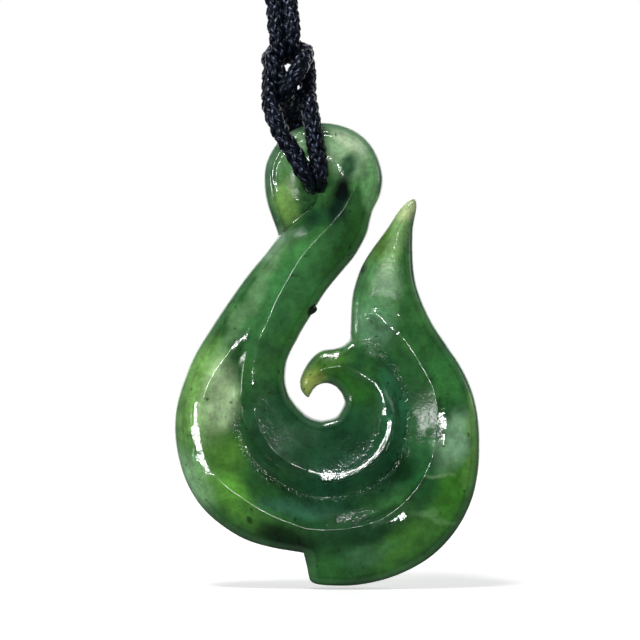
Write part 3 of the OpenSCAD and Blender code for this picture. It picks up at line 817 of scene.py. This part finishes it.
def plain_stone():
    """The plain solid with a fuller shank, and a tree of points along its outline."""
    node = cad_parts["jade_hook"]
    bm = bmesh.new()
    bm.from_mesh(node.data)
    bm.transform(node.matrix_world)
    bmesh.ops.remove_doubles(bm, verts=bm.verts, dist=0.000002)
    plain = numpy.array([v.co for v in bm.verts]) * 1000
    swell = numpy.clip(1 - from_line(plain[:, 0], plain[:, 2], FULLER) / FULLER_REACH, 0, 1)
    left_of_gap = plain[:, 0] < GAP_MIDDLE[0] + GAP_MIDDLE[1] * plain[:, 2]
    swell *= swell * (3 - 2 * swell) * left_of_gap
    for v, amount in zip(bm.verts, swell):
        v.co.x += FULLER_PUSH[0] * amount / 1000
        v.co.z += FULLER_PUSH[1] * amount / 1000
    along = []
    for edge in bm.edges:
        if max(abs(v.co.y) for v in edge.verts) < 1e-6:
            along += [edge.verts[0].co.lerp(edge.verts[1].co, n / 8) for n in range(8)]
    outline = KDTree(len(along))
    for n, co in enumerate(along):
        outline.insert(co, n)
    outline.balance()
    return bm, outline


def shape_face(bm, face, outline):
    """Shape the head's dome and cone, raise the left belly, and rub the point and fork smooth."""
    for v in face:
        x, z = v.co.x * 1000, v.co.z * 1000
        reach = math.hypot(x - BORE_X, z - BORE_Z)
        low = HEAD_END + STEP_UP * min(max((x - STEP_START) / STEP_WIDE, 0), 1)
        share = min(max((z - low) / HEAD_FADE + 0.5, 0), 1)
        if reach < HEAD_REACH and share > 0:
            up = min(max((off_rim(outline, v.co) - DOME_START) / DOME_WIDE, 0), 1)
            dome = DOME_LOW + DOME_RISE * up**DOME_BLUNT
            cone = CONE_LOW + CONE_SLOPE * max(reach - BORE_RADIUS, 0)
            v.co.y += share * (-min(dome, cone) / 1000 - v.co.y)
    flat = numpy.array([(v.co.x, v.co.z) for v in face]) * 1000
    for v, off in zip(face, from_line(flat[:, 0], flat[:, 1], SHELF)):
        if off < SHELF_WIDE:
            v.co.y = min(v.co.y, -SHELF_HEIGHT / 1000)
    for x, z, radius, rounds in SMOOTHED:
        rubbed = [
            v
            for v in face
            if off_place(v.co, x, z) < radius and off_place(v.co, BORE_X, BORE_Z) > BORE_KEPT
        ]
        for _ in range(rounds):
            bmesh.ops.smooth_vert(bm, verts=rubbed, factor=0.5, use_axis_y=True)


def sharpen(bm, inside):
    """Mark how sharp each edge inside the rim of the carved face stays."""
    crease = bm.edges.layers.float.new("crease_edge")
    for edge in bm.edges:
        middle = (edge.verts[0].co + edge.verts[1].co) * 500
        if len(edge.link_faces) != 2 or not all(inside[v] for v in edge.verts) or middle.y >= 0:
            continue
        share = 1
        for x, z, radius, worn in WORN:
            if math.hypot(middle.x - x, middle.z - z) < radius:
                share = worn
        bend = edge.calc_face_angle(0)
        sharp = min(max((bend - SOFT_ANGLE) / (HARD_ANGLE - SOFT_ANGLE), 0), 1)
        edge[crease] = EDGE * share * sharp
        for x, z, radius in CLEAN_CUT:
            if sharp > 0.5 and math.hypot(middle.x - x, middle.z - z) < radius:
                edge.smooth = False


def rounded(bm):
    """The piece with its rim and soft edges rounded to a dense mesh."""
    mesh = bpy.data.meshes.new("carved_hook")
    bm.to_mesh(mesh)
    bm.free()
    piece = bpy.data.objects.new("carved_hook", mesh)
    bpy.context.scene.collection.objects.link(piece)
    rounding = piece.modifiers.new("rounded", "SUBSURF")
    rounding.levels = 2
    rounding.render_levels = 2
    depsgraph = bpy.context.evaluated_depsgraph_get()
    dense = bpy.data.meshes.new_from_object(piece.evaluated_get(depsgraph))
    piece.modifiers.clear()
    piece.data = dense
    return piece


def work_face(mesh):
    """Raise the fold and the level places, cut the groove and push out the speck."""
    place = points_of(mesh)
    x, z = place[:, 0], place[:, 2]
    from_end = numpy.hypot(x - FOLD[0][0], z - FOLD[0][1])
    blunt = FOLD_BLUNT + FOLD_BLUNTER * numpy.clip(1 - from_end / FOLD_BLUNTER_LENGTH, 0, 1)
    off_fold = numpy.hypot(from_line(x, z, FOLD), blunt)
    fading = numpy.clip((z - FOLD_END) / FOLD_FADE, 0, 1)
    rise = FOLD_RISE * fading * numpy.clip(1 - off_fold / FOLD_WIDE, 0, 1)
    for line, top, slope, lean in LEVELS:
        down = numpy.clip(from_line(x, z, line) / slope, 0, 1)
        leaning = top + lean * (x - line[0][0])
        rise = numpy.maximum(rise, numpy.clip(leaning * (1 - down**2) + place[:, 1], 0, 1))
    rise -= GROOVE_DEEP * numpy.clip(1 - from_line(x, z, GROOVE) / GROOVE_WIDE, 0, 1)
    place[:, 1] -= rise * (place[:, 1] < 0)
    from_speck = numpy.linalg.norm(place - numpy.array(PROUD_SPECK), axis=1)
    place[:, 0] += SPECK_PROUD * numpy.clip(1 - (from_speck / SPECK_RADIUS) ** 2, 0, 1)
    mesh.vertices.foreach_set("co", (place / 1000).ravel())
    mesh.update()


def chamfer_crests(mesh):
    """Cut a fine flat chamfer along the crests that are finished with one."""
    bm = bmesh.new()
    bm.from_mesh(mesh)
    middles = numpy.array([(edge.verts[0].co + edge.verts[1].co) * 500 for edge in bm.edges])
    off = [from_line(middles[:, 0], middles[:, 2], line) for line in CHAMFERED]
    near = (numpy.minimum.reduce(off) < CREST_REACH) & (middles[:, 1] < 0)
    crest = [
        edge
        for edge, close in zip(bm.edges, near)
        if close and len(edge.link_faces) == 2 and edge.calc_face_angle(0) > CREST_ANGLE
    ]
    cut = bmesh.ops.bevel(
        bm, geom=crest, offset=CHAMFER / 1000, segments=2, profile=0.5, affect="EDGES", material=-1
    )
    strip = set(cut["faces"])
    for edge in {edge for polygon in strip for edge in polygon.edges}:
        edge.smooth = sum(polygon in strip for polygon in edge.link_faces) != 1
    bm.to_mesh(mesh)
    bm.free()


def mark_face(mesh, outline):
    """Write the values at the points that the material reads."""
    place = points_of(mesh)
    x, z = place[:, 0], place[:, 2]
    front = place[:, 1] < 0
    worn = numpy.zeros(len(place))
    for dull_x, dull_z, radius in DULL:
        away = numpy.hypot(x - dull_x, z - dull_z) / radius
        worn = numpy.maximum(worn, numpy.clip(1 - away**2, 0, 1) ** 1.5)
    # painted shade on the step beside the crests, for the material to darken the colour
    off_shaded_step = numpy.minimum.reduce([from_line(x, z, line) for line in PAINTED_SHADE_STEPS])
    values = {
        "tooled": numpy.clip(1.5 - from_line(x, z, GROOVE) / MARKS_WIDE, 0, 1) * front,
        "worn": worn,
        "step": numpy.clip(1.2 - off_shaded_step / PAINTED_SHADE_WIDE, 0, 1) * front,
        "from_rim": [off_rim(outline, Vector(co) / 1000) for co in place],
    }
    for name, value in values.items():
        mesh.attributes.new(name, "FLOAT", "POINT").data.foreach_set("value", value)


def carved_hook():
    """The stone, rounded from the plain solid, with sharp crests on its carved face."""
    bm, outline = plain_stone()
    inside = {v: off_rim(outline, v.co) > RIM for v in bm.verts}
    bmesh.ops.join_triangles(
        bm, faces=bm.faces, angle_face_threshold=0.7, angle_shape_threshold=1.2, cmp_seam=False
    )
    shape_face(bm, [v for v in bm.verts if inside[v] and v.co.y < 0], outline)
    sharpen(bm, inside)
    for polygon in bm.faces:
        polygon.smooth = True
    piece = rounded(bm)
    work_face(piece.data)
    chamfer_crests(piece.data)
    mark_face(piece.data, outline)
    return piece


hook = carved_hook()
hook.data.materials.append(polished_nephrite())
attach(hook, "pendant")
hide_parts("jade_hook")


# Closure. A plain moulded barrel at the nape, of black plastic, that the two cord ends are
# pushed into from either side.
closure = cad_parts["cord_closure"]
# plastic as it comes out of a fine-sparked mould: nearly black, with a broad soft sheen
closure_finish, _ = new_material("moulded_black", Base_Color=linear("#1b1c20"), Roughness=0.5)
closure.data.materials.clear()
closure.data.materials.append(closure_finish)


# Floor and light. A matt white table top just under the stone, which fades into a white
# surround, and soft lamps that stand round the stone.

# The table top's height, its radius, and where its fading starts and ends, in metres
FLOOR_Z = -0.1803
TABLE_RADIUS = 0.32
FADE_START = 0.19
FADE_END = 0.3


def white_table():
    """Matt white laminate, lit so that the camera sees it as white as the surround."""
    material, shader = new_material(
        "white_table", Roughness=0.9, Emission_Color=linear("#ffffff")
    )
    link = material.node_tree.links.new
    seen = add_node(material, "ShaderNodeLightPath").outputs["Is Camera Ray"]
    glow = add_node(material, "ShaderNodeMath", [(0, seen), (1, 0.48)], operation="MULTIPLY")
    link(glow.outputs[0], shader.inputs["Emission Strength"])
    # white to the camera, grey to the stone that mirrors it
    white = add_node(
        material, "ShaderNodeMapRange", [("Value", seen), ("To Min", 0.12), ("To Max", 0.9)]
    )
    link(white.outputs[0], shader.inputs["Base Color"])
    place = add_node(material, "ShaderNodeTexCoord").outputs["Object"]
    spread = add_node(material, "ShaderNodeVectorMath", [(0, place)], operation="LENGTH")
    fade = add_node(
        material,
        "ShaderNodeMapRange",
        [
            ("Value", spread.outputs["Value"]),
            ("From Min", FADE_START),
            ("From Max", FADE_END),
            ("To Min", 1),
            ("To Max", 0),
        ],
    )
    link(fade.outputs[0], shader.inputs["Alpha"])
    return material


bm = bmesh.new()
bmesh.ops.create_circle(bm, cap_ends=True, segments=96, radius=TABLE_RADIUS)
bmesh.ops.translate(bm, verts=bm.verts, vec=(0, 0, FLOOR_Z))
floor_mesh = bpy.data.meshes.new("table_top")
bm.to_mesh(floor_mesh)
bm.free()
table_top = bpy.data.objects.new("table_top", floor_mesh)
bpy.context.scene.collection.objects.link(table_top)
table_top.data.materials.append(white_table())

# The camera sees the surround plain white; the stone mirrors a dimmer room.
bpy.context.scene.view_settings.view_transform = "Standard"
world = bpy.data.worlds.new("white_surround")
bpy.context.scene.world = world
world.use_nodes = True
room = world.node_tree.nodes["Background"]
room.inputs["Color"].default_value = linear("#e8ecf0")
room.inputs["Strength"].default_value = 0.06
sweep = world.node_tree.nodes.new("ShaderNodeBackground")
sweep.inputs["Color"].default_value = (1, 1, 1, 1)
rays = world.node_tree.nodes.new("ShaderNodeLightPath")
choice = world.node_tree.nodes.new("ShaderNodeMixShader")
world.node_tree.links.new(rays.outputs["Is Camera Ray"], choice.inputs[0])
world.node_tree.links.new(room.outputs[0], choice.inputs[1])
world.node_tree.links.new(sweep.outputs[0], choice.inputs[2])
world.node_tree.links.new(choice.outputs[0], world.node_tree.nodes["World Output"].inputs[0])


# Where the lamps point
STONE_MIDDLE = (0, 0, -0.155)


def softbox(name, position, width, height, power):
    """A soft lamp that looks at the stone; sizes in metres, power in watts."""
    data = bpy.data.lights.new(name, "AREA")
    data.shape = "ELLIPSE"
    data.size = width
    data.size_y = height
    data.energy = power
    lamp = bpy.data.objects.new(name, data)
    lamp.location = position
    lamp.rotation_euler = (Vector(STONE_MIDDLE) - Vector(position)).to_track_quat("-Z", "Y").to_euler()
    bpy.context.scene.collection.objects.link(lamp)


softbox("front_light", (-0.02, -0.52, -0.16), 0.045, 0.045, 1.05)
softbox("left_light", (-0.38, -0.21, -0.20), 0.11, 0.11, 0.43)
softbox("right_light", (0.40, -0.02, -0.06), 0.16, 0.16, 0.1)
softbox("top_light", (-0.08, -0.10, 0.18), 0.12, 0.08, 0.75)
softbox("back_light", (0.0, 0.30, -0.10), 0.6, 0.5, 1.2)
